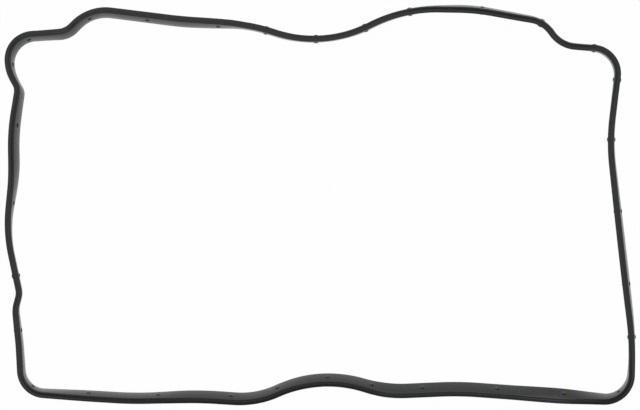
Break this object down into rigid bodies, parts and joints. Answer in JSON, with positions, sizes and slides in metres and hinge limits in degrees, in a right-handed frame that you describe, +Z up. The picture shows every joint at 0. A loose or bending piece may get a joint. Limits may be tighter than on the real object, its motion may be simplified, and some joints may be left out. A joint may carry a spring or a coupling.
{
  "type": "valve cover gasket",
  "caption": "Closed wavy loop of moulded black rubber strip with lipped edge and gripping nubs, which seals a valve cover to a cylinder head.",
  "frame": {"origin": "middle of the loop's box, on the surface that the gasket lies on", "axes": "+X along the loop's longer way, +Y across it towards the side with the long dip, +Z up, from the flat edge to the lipped edge"},
  "size_m": [0.4096, 0.26, 0.0112],
  "materials": {
    "rubber": "satin moulded black rubber"
  },
  "bodies": {
    "root": {"valve_cover_gasket": "rubber"}
  },
  "joints": []
}
